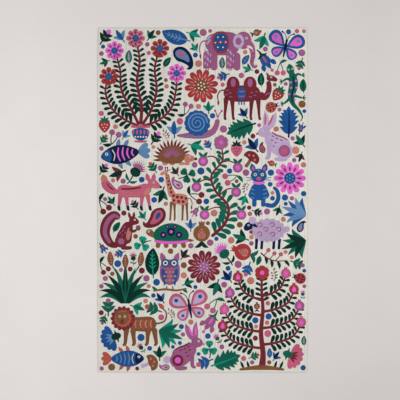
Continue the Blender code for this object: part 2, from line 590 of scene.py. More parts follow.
def elephant(motif, hide, cloth, trim, ear):
    """An elephant with a cloth on its back."""
    for x in (-76, 66):
        motif.run(hide, [(x, -10, 50), (x + 2, -70, 42), (x + 2, -122, 46)])
    motif.run(hide, [(-128, 30, 60), (-92, 38, 122), (-30, 44, 144), (40, 46, 136), (92, 48, 84)], 1)
    for x in (-118, 24):
        motif.run(hide, [(x + 8, 0, 60), (x, -60, 48), (x + 2, -122, 50)], 1)
        motif.dots("cream", ((x - 12, -113), (x + 2, -115), (x + 16, -113)), 5, 2)
        motif.flecks(ear, [(x + 20 * (row % 2) - 12, 4 - 20 * row) for row in range(5)], 90)
        motif.flecks(ear, [(x + 20 * (row % 2) + 2, -6 - 20 * row) for row in range(5)], 90)
    motif.run(ear, [(-118, 66, 10), (-104, 84, 12), (-92, 92, 8)], 2)
    motif.run(ear, [(-122, 40, 10), (-106, 58, 12), (-98, 72, 8)], 2)
    motif.run(hide, [(-116, 60, 9), (-146, 58, 8), (-164, 22, 7), (-160, -24, 6)])
    motif.leaf(trim, -160, -18, -86, 34, 13, 1)
    motif.disc(hide, 108, 66, 50, 2, stretch=1.08)
    trunk = [(132, 56, 52), (160, 22, 38), (168, -28, 29), (160, -74, 23), (176, -100, 18), (194, -88, 14)]
    motif.run(hide, trunk, 2)
    for x, y in ((162, 6), (168, -18), (165, -42), (162, -64)):
        motif.run(trim, [(x - 10, y, 5), (x + 10, y + 2, 5)], 3)
    motif.leaf("cream", 128, 28, -42, 56, 15, 3, bend=0.24, shape=BLADE)
    motif.disc(ear, 78, 60, 36, 3, stretch=1.3, petals=9, depth=0.08)
    motif.disc(hide, 78, 60, 18, 4, stretch=1.3)
    motif.run(trim, [(-84, 48, 126), (-34, 52, 138), (20, 54, 130)], 2)
    motif.run(cloth, [(-76, 50, 100), (-34, 53, 112), (12, 54, 104)], 3)
    motif.dots(trim, ((-66, 50), (-34, 54), (-2, 54)), 12, 4)
    motif.dots("cream", ((-66, 50), (-34, 54), (-2, 54), (-50, 84), (-18, 86), (-50, 22), (-18, 22)), 5, 5)
    motif.eye(128, 80, 8)


def camel(motif, coat, saddle, trim, leg):
    """A camel with two humps and a saddle cloth."""
    for hip, foot in ((-92, -100), (-58, -52), (56, 50), (92, 100)):
        motif.leg(leg, hip, foot, ((0, 34), (-60, 20), (-118, 15), (-134, 20)), 8)
    motif.run(coat, [(-108, 16, 44), (-72, 20, 88), (0, 18, 96), (72, 20, 84), (106, 18, 50)], 1)
    for x in (-52, 46):
        motif.leaf(coat, x, 22, 90, 96, 76, 1, shape=OVAL)
        motif.leaf(trim, x, 56, 90, 52, 30, 2, shape=OVAL)
    motif.run(coat, [(92, 16, 52), (134, 0, 38), (156, 44, 31), (152, 92, 28)], 1)
    motif.run(coat, [(142, 106, 30), (170, 108, 34), (204, 94, 18)], 2)
    motif.leaf(coat, 156, 112, 118, 34, 13, 1)
    motif.flecks(trim, ((-86, 38), (-92, 12), (-70, 22), (-66, 0), (56, 24), (74, 8), (84, 30), (48, 0)), 4)
    motif.run(leg, [(-98, 38, 9), (-126, 34, 8), (-142, 6, 7), (-138, -26, 6)])
    motif.leaf(leg, -138, -22, -90, 30, 12, 1)
    motif.run(saddle, [(-3, 56, 40), (-3, 22, 46), (-3, -16, 48)], 2)
    motif.run(trim, [(-20, 32, 7), (-3, 30, 9), (14, 32, 7)], 3)
    motif.run(trim, [(-20, 4, 7), (-3, 2, 9), (14, 4, 7)], 3)
    for x in (-18, -3, 12):
        motif.run(saddle, [(x, -24, 7), (x, -48, 7)], 2)
    motif.run(trim, [(134, 8, 8), (150, 20, 8), (166, 20, 7)], 3)
    motif.eye(168, 114, 7)


def fox(motif, coat, chest, sock, stripe):
    """A walking fox with a bushy tail."""
    motif.run(coat, [(-96, 6, 24), (-134, 22, 50), (-166, 54, 54), (-178, 88, 34)])
    motif.leaf(chest, -172, 66, 106, 52, 40, 1)
    motif.run(stripe, [(-120, 22, 7), (-144, 38, 9), (-160, 62, 7)], 1)
    for hip, foot in ((-78, -90), (-46, -36), (52, 44), (82, 96)):
        motif.leg(coat, hip, foot, ((-2, 34), (-44, 21), (-84, 16)))
        motif.run(sock, [(foot, -72, 18), (foot + 3, -94, 17), (foot + 12, -99, 10)], 1)
    motif.run(coat, [(-100, 8, 48), (-62, 14, 76), (0, 10, 68), (56, 18, 76), (98, 48, 56)], 1)
    motif.run(stripe, [(-76, 28, 9), (-20, 28, 12), (44, 36, 9)], 2)
    motif.flecks(chest, [(-70 + 22 * place, 10 - 3 * (place % 2)) for place in range(6)], 4)
    motif.flecks(chest, [(-60 + 22 * place, -8 - 3 * (place % 2)) for place in range(5)], 4)
    motif.run(chest, [(60, -8, 20), (84, 12, 30), (96, 36, 18)], 2)
    motif.run(coat, [(84, 62, 64), (120, 58, 52), (162, 38, 12)], 2)
    for x, angle in ((90, 106), (116, 82)):
        motif.leaf(coat, x, 72, angle, 52, 28, 1)
    motif.leaf(chest, 106, 44, -12, 52, 20, 3)
    motif.disc("navy", 162, 38, 7, 4)
    motif.eye(120, 66, 7)


def cat(motif, coat, stripe, muzzle, collar):
    """A sitting cat with a curled tail."""
    motif.run(coat, [(36, -98, 26), (84, -104, 26), (114, -66, 25), (108, -18, 23), (84, 4, 18)])
    motif.run(coat, [(0, -74, 132), (0, -40, 124), (0, 4, 90), (0, 34, 70)], 1)
    for x in (-26, 26):
        motif.run(coat, [(x, -30, 30), (x, -80, 26), (x * 1.05, -112, 30)], 2)
    motif.run(collar, [(-36, 34, 12), (0, 26, 16), (36, 34, 12)], 3)
    for side in (-1, 1):
        motif.leaf(coat, 30 * side, 92, 90 - 14 * side, 54, 34, 1)
        motif.leaf(muzzle, 30 * side, 98, 90 - 14 * side, 32, 15, 2)
        for y, width in ((-14, 8), (-38, 9), (-62, 8)):
            motif.run(stripe, [(48 * side, y + 8, width), (24 * side, y, 5)], 3)
        motif.eye(21 * side, 78, 10)
        motif.run(stripe, [(36 * side, 56, 5), (74 * side, 62, 5)], 4)
        motif.run(stripe, [(36 * side, 48, 5), (72 * side, 44, 5)], 4)
    motif.disc(coat, 0, 72, 47, 2, stretch=0.88)
    motif.leaf(stripe, 0, 92, 90, 26, 10, 4)
    motif.disc(muzzle, 0, 54, 15, 4, stretch=0.8)


def lizard(motif, skin, spot, crest):
    """A long lizard with spread feet."""
    body = [(-2, 150, 24), (8, 112, 46), (6, 58, 56), (-16, 0, 46),
            (-14, -56, 28), (18, -104, 17), (34, -148, 9), (18, -176, 5)]
    feet = ((14, 96, 66, 112), (-6, 92, -58, 92), (-2, -6, 50, -30), (-26, -14, -72, -48))
    for x, y, foot_x, foot_y in feet:
        motif.run(skin, [(x, y, 20), ((x + foot_x) / 2, foot_y + 12, 15), (foot_x, foot_y, 11)])
        outward = 0 if foot_x > 0 else 180
        for toe in (-42, 0, 42):
            motif.leaf(skin, foot_x, foot_y, outward + toe, 26, 9)
    motif.run(skin, body, 1)
    motif.leaf(skin, 2, 126, 94, 70, 50, 2, shape=(0.6, 0.8))
    motif.run(crest, [(8, 118, 8), (10, 60, 11), (-12, 2, 10), (-14, -50, 7)], 2)
    for x, y in ((24, 84), (-8, 78), (22, 40), (-12, 44), (4, 0), (-30, 6), (0, -34)):
        motif.disc(spot, x, y, 7, 2)
    motif.eye(-12, 160, 7)
    motif.eye(14, 161, 7)


def owl(motif, coat, belly, ring, perch):
    """An owl on a twig."""
    motif.run(coat, [(0, -66, 60), (0, -26, 108), (0, 34, 116), (0, 84, 96)])
    for side in (-1, 1):
        motif.leaf(coat, 30 * side, 62, 90 - 18 * side, 66, 34)
        motif.leaf(ring, 46 * side, 32, -90 - 8 * side, 104, 34, 1, bend=-0.10 * side)
        motif.disc(ring, 25 * side, 62, 26, 2, petals=10, depth=0.08)
        motif.eye(25 * side, 62, 15)
        motif.run(perch, [(16 * side, -72, 8), (20 * side, -92, 7)], 1)
    motif.leaf(perch, 0, 56, -90, 26, 15, 4)
    for row, count in ((10, 3), (-14, 4), (-38, 3)):
        for place in range(count):
            motif.disc(belly, (place - (count - 1) / 2) * 20, row, 8, 2)
    motif.run(perch, [(-96, -100, 10), (-30, -90, 13), (40, -96, 12), (98, -84, 8)])
    motif.leaf("emerald", -70, -94, 145, 40, 18, bend=0.1)
    motif.leaf("emerald", 72, -88, -38, 40, 18, bend=0.1)


def sheep(motif, fleece, curl, skin, bell):
    """A curly sheep."""
    for x in (-62, -32, 34, 64):
        motif.run(skin, [(x, -30, 20), (x + 2, -66, 15), (x + 4, -92, 18)])
    motif.disc(fleece, 0, 14, 98, 1, petals=17, depth=0.12, stretch=0.68)
    motif.disc(fleece, -102, 20, 17, 0, petals=6, depth=0.12)
    for x, y in ((-58, 18), (-22, 44), (-24, -10), (14, 18), (46, 42), (46, -8)):
        ring = []
        for step in range(9):
            angle = math.radians(40 * step)
            radius = 15 - 0.9 * step
            ring.append((x + radius * math.cos(angle), y + radius * math.sin(angle), 6))
        motif.run(curl, ring, 2)
    motif.run(skin, [(88, 46, 44), (112, 34, 42), (130, 14, 24)], 2)
    motif.disc(fleece, 88, 68, 21, 3, petals=7, depth=0.12)
    motif.leaf(skin, 88, 54, 214, 40, 17, 3, bend=0.1)
    motif.disc(bell, 96, 4, 10, 3)
    motif.eye(110, 42, 6)


def flowerpot(motif, clay, band, dot):
    """A pot with a banded rim and foot."""
    motif.run(clay, [(0, -52, 66), (0, -22, 104), (0, 14, 124), (0, 34, 118)])
    motif.run(band, [(-66, 44, 18), (0, 44, 22), (66, 44, 18)], 1)
    motif.run(band, [(-42, -56, 12), (0, -58, 15), (42, -56, 12)], 1)
    for place in range(5):
        x = (place - 2) * 25
        motif.leaf(band, x, 24, -90, 38, 14, 1)
        motif.disc(dot, x * 0.72, -26, 6, 1)


def lion(motif, coat, mane, tuft, stripe):
    """A walking lion with a full mane."""
    for hip, foot in ((-92, -104), (-58, -50), (34, 26), (70, 80)):
        motif.leg(coat, hip, foot, ((-4, 40), (-52, 25), (-96, 20), (-106, 16)), 14)
    motif.run(coat, [(-106, 14, 54), (-66, 18, 88), (0, 18, 84), (56, 24, 80)], 1)
    for x in (-76, -46, -16, 14):
        motif.run(stripe, [(x, 44, 8), (x + 6, 20, 11), (x, -6, 8)], 2)
        motif.flecks(tuft, ((x + 19, 36), (x + 20, 14), (x + 17, -8)), 90)
    motif.run(coat, [(-96, 22, 12), (-124, 24, 11), (-156, 40, 10), (-164, 84, 9), (-140, 112, 8)])
    motif.leaf(tuft, -146, 104, 48, 48, 26, 1, bend=0.1)
    motif.disc(mane, 92, 52, 74, 2, petals=15, depth=0.16)
    motif.disc(tuft, 92, 52, 54, 3, petals=15, depth=0.16, turn=12)
    motif.disc(coat, 96, 54, 40, 4, stretch=0.95)
    for side in (-1, 1):
        motif.disc(coat, 96 + 30 * side, 88, 12, 4)
        motif.eye(96 + 15 * side, 64, 7, 5)
    motif.leaf(mane, 96, 50, -90, 20, 18, 5, shape=DROP)
    motif.run(mane, [(80, 28, 5), (96, 24, 6), (112, 28, 5)], 5)


def giraffe(motif, coat, patch, leg, horn):
    """A giraffe with a patched coat."""
    for hip, foot in ((-66, -74), (-40, -34), (30, 28), (54, 64)):
        motif.leg(leg, hip, foot, ((-50, 30), (-110, 18), (-186, 15), (-204, 18)), 6)
    motif.run(coat, [(-82, -40, 40), (-50, -36, 84), (10, -28, 86), (50, -10, 74)], 1)
    motif.run(coat, [(40, -16, 72), (66, 50, 44), (84, 120, 32), (92, 170, 28)], 1)
    motif.run(coat, [(84, 184, 34), (112, 182, 32), (144, 164, 18)], 2)
    motif.leaf(coat, 96, 192, 158, 44, 14, 1)
    for x in (86, 102):
        motif.run(horn, [(x, 194, 7), (x + 1, 220, 6)], 1)
        motif.disc(horn, x + 1, 222, 6, 2)
    motif.run(leg, [(-74, -24, 8), (-98, -30, 8), (-112, -60, 7), (-108, -92, 6)])
    motif.leaf(horn, -108, -86, -90, 30, 12, 1)
    places = ((-62, -26, 12), (-40, -52, 13), (-28, -18, 13), (-4, -50, 13), (6, -14, 14),
              (34, -42, 12), (38, -4, 13), (56, 24, 12), (62, 54, 10), (78, 84, 10), (80, 112, 8),
              (90, 138, 8), (92, 162, 7))
    for x, y, radius in places:
        motif.disc(patch, x, y, radius, 2, petals=5, depth=0.12, turn=3 * x)
    motif.run(horn, [(50, 56, 7), (68, 118, 7), (76, 168, 6)], 2)
    motif.eye(112, 188, 6)


def flowering_plant(motif, stem, foliage, *others):
    """A tall plant in a pot, its stems ending in flowers: three yarns each for petals, heart and pot."""
    petals, heart, pot = others[:3], others[3:6], others[6:]
    flowerpot(motif.branch(0, -318), *pot)
    stems = (
        ([(-14, -270, 17), (-110, -226, 16), (-196, -150, 15), (-236, -40, 13), (-214, 62, 11)], 44),
        ([(-12, -262, 20), (-66, -150, 18), (-128, -30, 16), (-138, 110, 14), (-176, 236, 11)], 66),
        ([(0, -262, 24), (6, -130, 21), (-24, 20, 18), (-6, 170, 15), (-34, 320, 11)], 80),
        ([(12, -262, 20), (72, -160, 18), (108, -30, 16), (96, 120, 14), (130, 252, 11)], 66),
        ([(14, -270, 17), (122, -232, 16), (206, -150, 15), (238, -34, 13), (244, 84, 11)], 44),
    )
    for place, (knots, start) in enumerate(stems):
        motif.leafy_stem(stem, foliage, knots, start=start, length=62, width=28, spacing=34)
        flower = motif.branch(*knots[-1][:2])
        daisy(flower, petals[place % len(petals)], *heart, count=8, radius=64, layer=2)


def fruit_tree(motif, bark, foliage, flesh, earth, *fruit):
    """A tree with side branches that curve up and end in fruit."""
    trunk = [(0, -344, 48), (8, -250, 36), (-6, -110, 30), (6, 40, 24), (-2, 180, 18), (2, 290, 12)]
    motif.leafy_stem(bark, foliage, trunk, start=440, length=62, width=30, spacing=34)
    for level, (y, reach) in enumerate(((-214, 262), (-104, 250), (6, 214), (112, 160))):
        for side in (-1, 1):
            rise = 24 * (side > 0)
            knots = [
                (0, y + rise, 20),
                (0.36 * reach * side, y + rise + 14, 16),
                (0.78 * reach * side, y + rise + 56, 14),
                (reach * side, y + rise + 138, 11),
            ]
            motif.leafy_stem(bark, foliage, knots, start=52, length=60, width=28, spacing=33)
            yarn = fruit[(level + (side > 0)) % len(fruit)]
            tip = motif.branch(*knots[-1][:2])
            tip.disc(yarn, 0, 12, 33, 2)
            tip.leaf(flesh, 0, 36, -90, 44, 30, 3, shape=DROP)
            tip.pair(yarn, 0, 36, 22, 24, 11, 1)
    blossom(motif.branch(*trunk[-1][:2]), fruit[0], flesh, 50)
    motif.run(earth, [(-150, -356, 14), (-70, -346, 26), (0, -342, 34), (70, -346, 26), (150, -356, 14)], 1)
    for x in (-120, -84, 84, 120):
        motif.leaf(foliage, x, -350, 90 - 0.2 * x, 58, 18)


def vine(motif, stem, foliage, fruit, flesh):
    """A climbing stem in a double bend, with fruit on side shoots."""
    line = [(-60, -330, 24), (40, -230, 22), (60, -110, 19), (-30, 0, 17),
            (-60, 110, 15), (20, 220, 13), (10, 330, 9)]
    motif.leafy_stem(stem, foliage, line, start=30, length=80, width=38, spacing=42, lean=60)
    shoots = ((46, -200, 156, -150), (-4, -30, 118, 14), (-50, 70, -168, 50),
              (52, -130, -110, -150), (0, 200, 130, 190), (6, 220, -120, 236))
    for x, y, far_x, far_y in shoots:
        motif.run(stem, [(x, y, 12), ((x + far_x) / 2, (y + far_y) / 2 + 22, 10), (far_x, far_y, 8)])
        motif.disc(fruit, far_x, far_y - 22, 36, 1)
        motif.disc(flesh, far_x, far_y - 22, 21, 2, petals=5, depth=0.2)
        motif.pair(foliage, far_x, far_y + 6, -40, 52, 24, 1)
    blossom(motif.branch(10, 350), fruit, flesh, 54)


def reeds(motif, blade, second, head, seed):
    """A clump of arching leaves with seed heads."""
    for place in range(11):
        lean = place - 5
        yarn = second if place % 2 else blade
        length = 268 - 24 * abs(lean)
        motif.leaf(yarn, 5 * lean, -150, 90 - 15 * lean, length, 36, place % 2, bend=0.05 * lean)
    for x, y in ((-92, 150), (0, 132), (96, 146)):
        motif.run(blade, [(0, -140, 10), (0.42 * x, 10, 9), (x, y - 40, 8)], 2)
        motif.run(head, [(x, y - 50, 16), (1.06 * x, y - 6, 42), (1.1 * x, y + 42, 14)], 2)
        motif.dots(seed, [(x + 0.02 * x * place, y - 30 + 18 * place) for place in range(4)], 6, 3)


# Where each large motif stands, in millimetres from the rug's middle, with its scale and its yarns
LAYOUT = (
    Place(flowering_plant, -438, 808, 1.05,
          "burgundy bottle red orchid pink burgundy royal sky royal pink cream"),
    Place(fruit_tree, 420, -822, 1.06, "burgundy bottle orchid brown red pink mauve"),
    Place(elephant, 166, 1054, 1.14, "mauve royal red lilac"),
    Place(butterfly, 586, 1078, 1.14, "royal orchid sky navy", turn=-12),
    Place(camel, 280, 730, 1.22, "burgundy royal mauve burgundy"),
    Place(daisy, -8, 806, 1.2, "red salmon brown cream", turn=9),
    Place(lizard, 646, 746, 1.12, "emerald orchid navy", turn=8),
    Place(snail, -30, 536, 1.22, "mauve royal sky"),
    Place(rabbit, 532, 420, 1.18, "lilac mauve pink salmon", mirrored=True),
    Place(fish, -562, 326, 1.18, "navy orchid sky royal", turn=8, mirrored=True),
    Place(hedgehog, -200, 328, 1.22, "brown burgundy mauve salmon"),
    Place(vine, 122, 64, 0.98, "burgundy emerald mauve orchid"),
    Place(fox, -486, 46, 1.18, "pink salmon navy burgundy"),
    Place(giraffe, -172, 34, 0.88, "salmon burgundy brown navy", mirrored=True),
    Place(daisy, 618, 154, 1.14, "orchid burgundy royal sky"),
    Place(cat, 398, 86, 1.2, "royal sky pink orchid"),
    Place(squirrel, -562, -218, 1.12, "burgundy mauve salmon brown"),
    Place(tortoise, -222, -256, 1.2, "emerald navy brown orchid", mirrored=True),
    Place(sheep, 466, -232, 1.28, "lilac mauve navy red", mirrored=True),
    Place(reeds, -546, -572, 1.08, "emerald bottle brown salmon"),
    Place(owl, -232, -522, 1.22, "mauve salmon royal brown"),
    Place(daisy, 10, -474, 1.2, "burgundy pink mauve lilac", turn=9),
    Place(lion, -452, -900, 1.2, "brown burgundy terracotta salmon", mirrored=True),
    Place(butterfly, -90, -762, 1.2, "pink lilac royal navy", turn=10),
    Place(fish, -550, -1122, 1.02, "royal sky terracotta navy"),
    Place(rabbit, -130, -1064, 1.12, "mauve burgundy orchid lilac"),
)


# The clear ground left between motifs

class Field:
    """How far each small cell of the rug lies from the nearest worked patch, in millimetres."""

    def __init__(self, width, length):
        self.x = numpy.arange(-width / 2, width / 2, FIELD_CELL)
        self.y = numpy.arange(-length / 2, length / 2, FIELD_CELL)
        sides = numpy.minimum(width / 2 - numpy.abs(self.x), FIELD_REACH)
        ends = numpy.minimum(length / 2 - numpy.abs(self.y), FIELD_REACH)
        self.clear = numpy.minimum(sides[:, None], ends[None, :]) - EDGE_GAP

    def cover(self, x, y, radius):
        """Takes the room of a round spot out of the clear ground."""
        reach = radius + FIELD_REACH
        columns = slice(*numpy.searchsorted(self.x, (x - reach, x + reach)))
        rows = slice(*numpy.searchsorted(self.y, (y - reach, y + reach)))
        away = numpy.hypot(self.x[columns][:, None] - x, self.y[rows][None, :] - y) - radius
        numpy.minimum(self.clear[columns, rows], away, out=self.clear[columns, rows])

    def cover_patch(self, patch):
        """Takes the room of a worked patch out of the clear ground."""
        if isinstance(patch, Disc):
            self.cover(patch.x, patch.y, patch.radius * min(1.0, math.sqrt(patch.stretch)))
            return
        for x, y, width in patch.stations:
            self.cover(x, y, width / 2)

    def widest(self):
        """The middle and the radius of the largest clear round."""
        place = numpy.unravel_index(numpy.argmax(self.clear), self.clear.shape)
        return float(self.x[place[0]]), float(self.y[place[1]]), float(self.clear[place])


# The small plants that fill the ground: how many of each at most, and the yarns they take in turn
FILLERS = (
    Filler(frond, 12, ("royal navy", "emerald bottle", "royal sky", "bottle emerald")),
    Filler(carnation, 7, ("royal sky bottle", "pink burgundy emerald", "navy sky viridian")),
    Filler(spray, 10, ("viridian emerald", "royal sky", "bottle emerald", "navy royal")),
    Filler(paisley, 6, ("navy sky pink", "burgundy pink royal", "mauve lilac red")),
    Filler(broad_leaf, 12, ("bottle viridian", "royal sky", "emerald lilac", "emerald bottle")),
    Filler(thistle, 6, ("mauve bottle emerald", "orchid emerald bottle")),
    Filler(trio, 16, ("royal sky", "bottle emerald", "emerald viridian", "bottle burgundy")),
    Filler(pomegranate, 5, ("brown salmon burgundy bottle", "red salmon navy emerald")),
    Filler(frond, 12, ("emerald viridian", "royal sky", "bottle emerald", "navy sky")),
    Filler(berry_sprig, 5, ("burgundy bottle pink", "brown emerald red")),
    Filler(sprig, 18, ("bottle orchid", "royal pink", "emerald mauve", "emerald terracotta")),
    Filler(bellflower, 5, ("royal pink bottle", "mauve orchid emerald")),
    Filler(spray, 10, ("emerald bottle", "sky royal", "bottle viridian")),
    Filler(clover, 3, ("viridian bottle bottle", "emerald bottle bottle")),
    Filler(mushroom, 2, ("burgundy salmon brown", "brown salmon lilac")),
    Filler(strawberry, 3, ("red cream emerald", "pink burgundy bottle")),
    Filler(ladybird, 2, ("terracotta navy", "red navy")),
    Filler(cherries, 8, ("burgundy bottle", "pink emerald", "mauve bottle")),
    Filler(trio, 16, ("emerald bottle", "navy royal", "viridian emerald")),
)

# How the small plants are tried: scales, turns in degrees, and the gap and the stations that keep them apart
FILLER_SCALES = (1.18, 1.02, 0.88, 0.76, 0.66, 0.57, 0.5, 0.43)
FILLER_TURNS = (0, 35, -35, 70, -70, 110, -110, 160)
FILLER_GAP = 6.5
PLACING_SHARES = (0.08, 0.24, 0.38, 0.52, 0.66, 0.8, 0.91, 1.0)
PLACING_REACH = 170.0

# The dots that fill what is left: gap and radii in millimetres, and the order of their yarns
DOT_GAP = 7.0
DOT_LEAST = 13.5
DOT_MOST = 26.0
DOT_YARNS = "salmon royal mauve pink brown royal salmon royal mauve burgundy mauve".split()
DOT_STRIDE = 5
DOT_SHIFTS = 3


def spots_of(filler):
    """The round spots that a small plant covers, as x, y and radius: enough of them to place it by."""
    worked = []
    filler.motif(Motif(worked, 0, 0), *filler.yarns[0].split())
    spots = []
    for patch in worked:
        if isinstance(patch, Disc):
            spots.append((patch.x, patch.y, patch.radius))
            continue
        last = len(patch.stations) - 1
        for share in PLACING_SHARES:
            x, y, width = patch.stations[round(share * last)]
            spots.append((x, y, width / 2))
    return spots


def tightest_place(field, spots, scale):
    """The x, y and turn at which a small plant fits the clear ground most closely, or None."""
    best = None
    least = math.inf
    columns, rows = field.clear.shape
    margin = math.ceil(PLACING_REACH / FIELD_CELL)
    padded = numpy.pad(field.clear, margin, constant_values=-EDGE_GAP)
    for turn in FILLER_TURNS:
        cos, sin = bearing(turn)
        slack = numpy.full((columns, rows), FIELD_REACH)
        total = numpy.zeros((columns, rows))
        for x, y, radius in spots:
            across, along = scale * (x * cos - y * sin), scale * (x * sin + y * cos)
            column, row = margin + round(across / FIELD_CELL), margin + round(along / FIELD_CELL)
            room = padded[column:column + columns, row:row + rows]
            numpy.minimum(slack, room - (scale * radius + FILLER_GAP), out=slack)
            total += room
        total[slack < 0] = math.inf
        place = numpy.unravel_index(numpy.argmin(total), total.shape)
        if total[place] < least:
            least = total[place]
            best = float(field.x[place[0]]), float(field.y[place[1]]), turn
    return best


def plant_fillers(patches, field):
    """Works small plants in turn wherever one fits in the clear ground."""
    used = [0] * len(FILLERS)
    outlines = [spots_of(filler) for filler in FILLERS]
    for scale in FILLER_SCALES:
        open_kinds = [place for place, filler in enumerate(FILLERS) if used[place] < filler.most]
        while open_kinds:
            place = open_kinds.pop(0)
            filler = FILLERS[place]
            found = tightest_place(field, outlines[place], scale)
            if not found:
                continue
            x, y, turn = found
            yarns = filler.yarns[used[place] % len(filler.yarns)].split()
            used[place] += 1
            worked = []
            filler.motif(Motif(worked, x, y, scale, turn), *yarns)
            patches += worked
            for patch in worked:
                field.cover_patch(patch)
            if used[place] < filler.most:
                open_kinds.append(place)


def sow_dots(patches, field):
    """Works a dot in the widest clear ground, again and again, until no gap is wide enough."""
    count = 0
    while True:
        x, y, clear = field.widest()
        radius = min(clear - DOT_GAP, DOT_MOST)
        if radius < DOT_LEAST:
            return
        yarn = DOT_YARNS[(count * DOT_STRIDE + int(x) % DOT_SHIFTS) % len(DOT_YARNS)]
        patches.append(Disc(yarn, 0, x, y, radius))
        field.cover(x, y, radius)
        count += 1


@cache
def draw_design():
    """Every patch of the rug's design: the placed motifs, and what fills the ground between them."""
    patches = []
    for place in LAYOUT:
        motif = Motif(patches, place.x, place.y, place.scale, place.turn, place.mirrored)
        place.motif(motif, *place.yarns.split())
    field = Field(WIDTH / MM, LENGTH / MM)
    for patch in patches:
        field.cover_patch(patch)
    plant_fillers(patches, field)
    sow_dots(patches, field)
    return patches


# The mesh of a worked patch

def sway(x, y):
    """How far the cloth's uneven sides carry a point of the rug along with them."""
    across, along = x / (WIDTH / 2), y / (LENGTH / 2)
    corner = (across * along) ** 8
    return (
        across * (SIDE_SWAY * (math.cos(3 * math.pi * along) - 1) / 2 - CORNER_PULL * corner),
        along * (SIDE_SWAY * (math.cos(2 * math.pi * across) - 1) / 2 - CORNER_PULL * corner),
    )


def swell(x, y):
    """The slight rise and fall of the cloth where it lies on the floor."""
    return SWELL * (math.sin(7 * x + 1.1) * math.cos(5 * y) + 0.6 * math.sin(11 * y + 4 * x))


def lie(x, y, z):
    """A point of the flat design as it lies in the cloth."""
    aside, ahead = sway(x, y)
    return x + aside, y + ahead, z + swell(x, y)


def new_patch():
    """An empty mesh with the layers that the wool needs."""
    mesh = bmesh.new()
    mesh.loops.layers.uv.new("Stitch")
    mesh.loops.layers.uv.new("OFBake")
    mesh.faces.layers.float.new("Tone")
    return mesh


def grid_place(vert, steps, lines):
    """Which station and which line of a fresh grid a vertex is on."""
    return round((vert.co.x + 0.5) * steps), round((vert.co.y + 0.5) * lines)


def worked_patch(steps, lines, stitch_of, point_of, tone):
    """A closed patch on a grid of stations and lines, which two functions turn into stitches and points."""
    patch = new_patch()
    bmesh.ops.create_grid(patch, x_segments=steps, y_segments=lines, size=0.5)
    stitch = patch.loops.layers.uv["Stitch"]
    for face in patch.faces:
        for loop in face.loops:
            loop[stitch].uv = stitch_of(*grid_place(loop.vert, steps, lines))
    for vert in patch.verts:
        vert.co = point_of(*grid_place(vert, steps, lines))
    finish_patch(patch, tone)
    return patch


def finish_patch(patch, tone):
    """Merges a patch's seam and ends, lays it in the cloth and closes it below."""
    bmesh.ops.remove_doubles(patch, verts=patch.verts, dist=MERGE_GAP)
    bake = patch.loops.layers.uv["OFBake"]
    shade = patch.faces.layers.float["Tone"]
    for face in patch.faces:
        face.smooth = True
        face[shade] = tone
        for loop in face.loops:
            loop[bake].uv = (loop.vert.co.x / WIDTH + 0.5, loop.vert.co.y / LENGTH + 0.5)
    for vert in patch.verts:
        vert.co = lie(*vert.co)
    rim = [edge for edge in patch.edges if edge.is_boundary]
    for closing in bmesh.ops.contextual_create(patch, geom=rim)["faces"]:
        for loop in closing.loops:
            loop[bake].uv = (0.5, 0.5)
    bmesh.ops.recalc_face_normals(patch, faces=patch.faces)


def lines_across(rows, both_sides):
    """The lines across some rows: the share of the way across, the row, and what height it has."""
    lines = [(0.0, 0.0, "sunk")]
    for line in range(2 * rows + 1):
        lines.append((line / (2 * rows), line / 2, "crest" if line % 2 else "valley"))
    if both_sides:
        lines.append((1.0, float(rows), "sunk"))
    return lines


def height_of(kind, level, relief=1.0):
    """The height of one of those lines; narrow rows have less relief."""
    if kind == "sunk":
        return SINK_HEIGHT
    return level + YARN_VALLEY + (relief * (YARN_CREST - YARN_VALLEY) if kind == "crest" else 0.0)


def band_patch(band, sizes, tone):
    """Rows of stitches along a band's stations, as one closed mesh."""
    stations = [(x * MM, y * MM, width * MM) for x, y, width in band.stations]
    steps = len(stations) - 1
    rows = max(1, round(max(width for x, y, width in stations) / sizes.row_pitch))
    across = lines_across(rows, True)
    level = band.layer * sizes.layer_step
    ways = ways_along(stations)
    normals = []
    for place in range(steps + 1):
        before, after = stations[max(place - 1, 0)], stations[min(place + 1, steps)]
        run = math.dist(before[:2], after[:2]) or 1.0
        normals.append(((before[1] - after[1]) / run, (after[0] - before[0]) / run))

    def stitch_of(place, line):
        return ways[place], across[line][1]

    def point_of(place, line):
        x, y, width = stations[place]
        if place in (0, steps):
            return x, y, SINK_HEIGHT
        share, _, kind = across[line]
        if kind != "sunk":
            width = max(width - 2 * WALL_INSET, NARROWEST_TOP * width)
        aside = width * (share - 0.5)
        height = height_of(kind, level, min(1.0, width / (rows * sizes.row_pitch)))
        return x + normals[place][0] * aside, y + normals[place][1] * aside, height

    return worked_patch(steps, len(across) - 1, stitch_of, point_of, tone)


def disc_patch(disc, sizes, tone):
    """Rows of stitches round and round a disc, as one closed mesh."""
    radius = disc.radius * MM
    rows = max(1, round(radius / sizes.row_pitch))
    across = lines_across(rows, False)
    steps = max(ROUND_STEPS, PETAL_STEPS * disc.petals, math.ceil(2 * math.pi * disc.radius / STATION_STEP))
    level = disc.layer * sizes.layer_step
    cos, sin = bearing(disc.turn)

    def stitch_of(place, line):
        round_way = 2 * math.pi * radius * max(1 - across[line][0], INNERMOST_SHARE)
        return round_way * place / steps, across[line][1]

    def point_of(place, line):
        inward, _, kind = across[line]
        share = 1 - inward
        angle = 2 * math.pi * (place % steps) / steps
        scallop = 1 - abs(math.sin(disc.petals * angle / 2)) if disc.petals else 0.0
        reach = radius * share * (1 - disc.depth * scallop * share)
        if kind != "sunk":
            reach -= WALL_INSET * share
        along, aside = reach * math.cos(angle), disc.stretch * reach * math.sin(angle)
        x, y = disc.x * MM + along * cos - aside * sin, disc.y * MM + along * sin + aside * cos
        return x, y, height_of(kind, level)

    return worked_patch(steps, len(across) - 1, stitch_of, point_of, tone)


